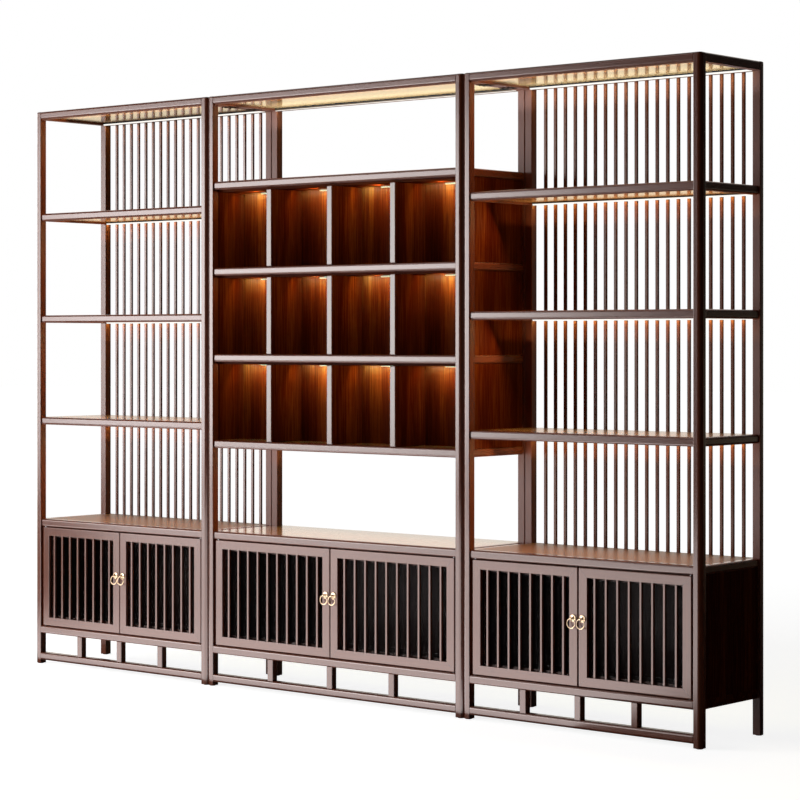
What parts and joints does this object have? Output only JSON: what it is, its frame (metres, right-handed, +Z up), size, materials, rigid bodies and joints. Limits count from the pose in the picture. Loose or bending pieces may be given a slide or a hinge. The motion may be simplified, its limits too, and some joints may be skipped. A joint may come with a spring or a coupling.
{
  "type": "display cabinet row with open shelves",
  "caption": "Dark wood display cabinet row: open lit shelves with slatted backs, a block of cells, and low cupboards with barred glass doors and ring pulls",
  "frame": {"origin": "middle of the floor area that the row covers, ring pulls included", "axes": "+X along the row to its right end as seen from the front, +Y to the rear, +Z up"},
  "size_m": [2.868, 0.355, 2],
  "materials": {
    "frame_wood": "satin dark walnut",
    "board_wood": "gloss dark walnut",
    "panel_wood": "satin dark walnut",
    "smoked_glass": "smoked",
    "brass": "polished",
    "steel": "bright",
    "glide_nylon": "black",
    "black_aluminium": "black anodised",
    "lit_diffuser": "warm light",
    "driver_plastic": "black"
  },
  "bodies": {
    "cabinet": {"left_posts": "frame_wood", "left_rails": "frame_wood", "left_boards": "board_wood", "left_cupboard": "panel_wood", "centre_posts": "frame_wood", "centre_rails": "frame_wood", "centre_boards": "board_wood", "centre_cupboard": "panel_wood", "right_posts": "frame_wood", "right_rails": "frame_wood", "right_boards": "board_wood", "right_cupboard": "panel_wood", "base_rails": "frame_wood", "base_struts": "frame_wood", "cupboard_backs": "panel_wood", "left_slats": "frame_wood", "right_slats": "frame_wood", "cell_dividers": "frame_wood", "cell_backs": "panel_wood", "cell_ceilings": "panel_wood", "block_side_panels": "panel_wood", "light_channels": "black_aluminium", "light_diffusers": "lit_diffuser", "light_drivers": "driver_plastic", "foot_glides": "glide_nylon", "door_catches": "driver_plastic", "hinge_pins": "steel", "hinge_washers": "glide_nylon", "joining_plates": "steel", "joining_screws": "steel"},
    "left_unit_left_door": {"left_unit_left_door_frame": "frame_wood", "left_unit_left_door_bars": "frame_wood", "left_unit_left_door_glass": "smoked_glass", "left_unit_left_door_fittings": "brass"},
    "left_unit_left_door_pull": {"left_unit_left_door_ring": "brass"},
    "left_unit_right_door": {"left_unit_right_door_frame": "frame_wood", "left_unit_right_door_bars": "frame_wood", "left_unit_right_door_glass": "smoked_glass", "left_unit_right_door_fittings": "brass"},
    "left_unit_right_door_pull": {"left_unit_right_door_ring": "brass"},
    "centre_unit_left_door": {"centre_unit_left_door_frame": "frame_wood", "centre_unit_left_door_bars": "frame_wood", "centre_unit_left_door_glass": "smoked_glass", "centre_unit_left_door_fittings": "brass"},
    "centre_unit_left_door_pull": {"centre_unit_left_door_ring": "brass"},
    "centre_unit_right_door": {"centre_unit_right_door_frame": "frame_wood", "centre_unit_right_door_bars": "frame_wood", "centre_unit_right_door_glass": "smoked_glass", "centre_unit_right_door_fittings": "brass"},
    "centre_unit_right_door_pull": {"centre_unit_right_door_ring": "brass"},
    "right_unit_left_door": {"right_unit_left_door_frame": "frame_wood", "right_unit_left_door_bars": "frame_wood", "right_unit_left_door_glass": "smoked_glass", "right_unit_left_door_fittings": "brass"},
    "right_unit_left_door_pull": {"right_unit_left_door_ring": "brass"},
    "right_unit_right_door": {"right_unit_right_door_frame": "frame_wood", "right_unit_right_door_bars": "frame_wood", "right_unit_right_door_glass": "smoked_glass", "right_unit_right_door_fittings": "brass"},
    "right_unit_right_door_pull": {"right_unit_right_door_ring": "brass"}
  },
  "joints": [
    {"name": "left_unit_left_door_hinge", "type": "hinge", "parent": "cabinet", "child": "left_unit_left_door", "pos_m": [-1.392, -0.1555, 0.318], "axis": [0, 0, -1], "range_deg": [0, 90]},
    {"name": "left_unit_left_door_ring_swing", "type": "hinge", "parent": "left_unit_left_door", "child": "left_unit_left_door_pull", "pos_m": [-1.01325, -0.1735, 0.343], "axis": [-1, 0, 0], "range_deg": [0, 85]},
    {"name": "left_unit_right_door_hinge", "type": "hinge", "parent": "cabinet", "child": "left_unit_right_door", "pos_m": [-0.6, -0.1555, 0.318], "axis": [0, 0, 1], "range_deg": [0, 90]},
    {"name": "left_unit_right_door_ring_swing", "type": "hinge", "parent": "left_unit_right_door", "child": "left_unit_right_door_pull", "pos_m": [-0.97875, -0.1735, 0.343], "axis": [-1, 0, 0], "range_deg": [0, 85]},
    {"name": "centre_unit_left_door_hinge", "type": "hinge", "parent": "cabinet", "child": "centre_unit_left_door", "pos_m": [-0.514, -0.1555, 0.318], "axis": [0, 0, -1], "range_deg": [0, 90]},
    {"name": "centre_unit_left_door_ring_swing", "type": "hinge", "parent": "centre_unit_left_door", "child": "centre_unit_left_door_pull", "pos_m": [-0.01725, -0.1735, 0.343], "axis": [-1, 0, 0], "range_deg": [0, 85]},
    {"name": "centre_unit_right_door_hinge", "type": "hinge", "parent": "cabinet", "child": "centre_unit_right_door", "pos_m": [0.514, -0.1555, 0.318], "axis": [0, 0, 1], "range_deg": [0, 90]},
    {"name": "centre_unit_right_door_ring_swing", "type": "hinge", "parent": "centre_unit_right_door", "child": "centre_unit_right_door_pull", "pos_m": [0.01725, -0.1735, 0.343], "axis": [-1, 0, 0], "range_deg": [0, 85]},
    {"name": "right_unit_left_door_hinge", "type": "hinge", "parent": "cabinet", "child": "right_unit_left_door", "pos_m": [0.6, -0.1555, 0.318], "axis": [0, 0, -1], "range_deg": [0, 90]},
    {"name": "right_unit_left_door_ring_swing", "type": "hinge", "parent": "right_unit_left_door", "child": "right_unit_left_door_pull", "pos_m": [0.97875, -0.1735, 0.343], "axis": [-1, 0, 0], "range_deg": [0, 85]},
    {"name": "right_unit_right_door_hinge", "type": "hinge", "parent": "cabinet", "child": "right_unit_right_door", "pos_m": [1.392, -0.1555, 0.318], "axis": [0, 0, 1], "range_deg": [0, 90]},
    {"name": "right_unit_right_door_ring_swing", "type": "hinge", "parent": "right_unit_right_door", "child": "right_unit_right_door_pull", "pos_m": [1.01325, -0.1735, 0.343], "axis": [-1, 0, 0], "range_deg": [0, 85]}
  ]
}
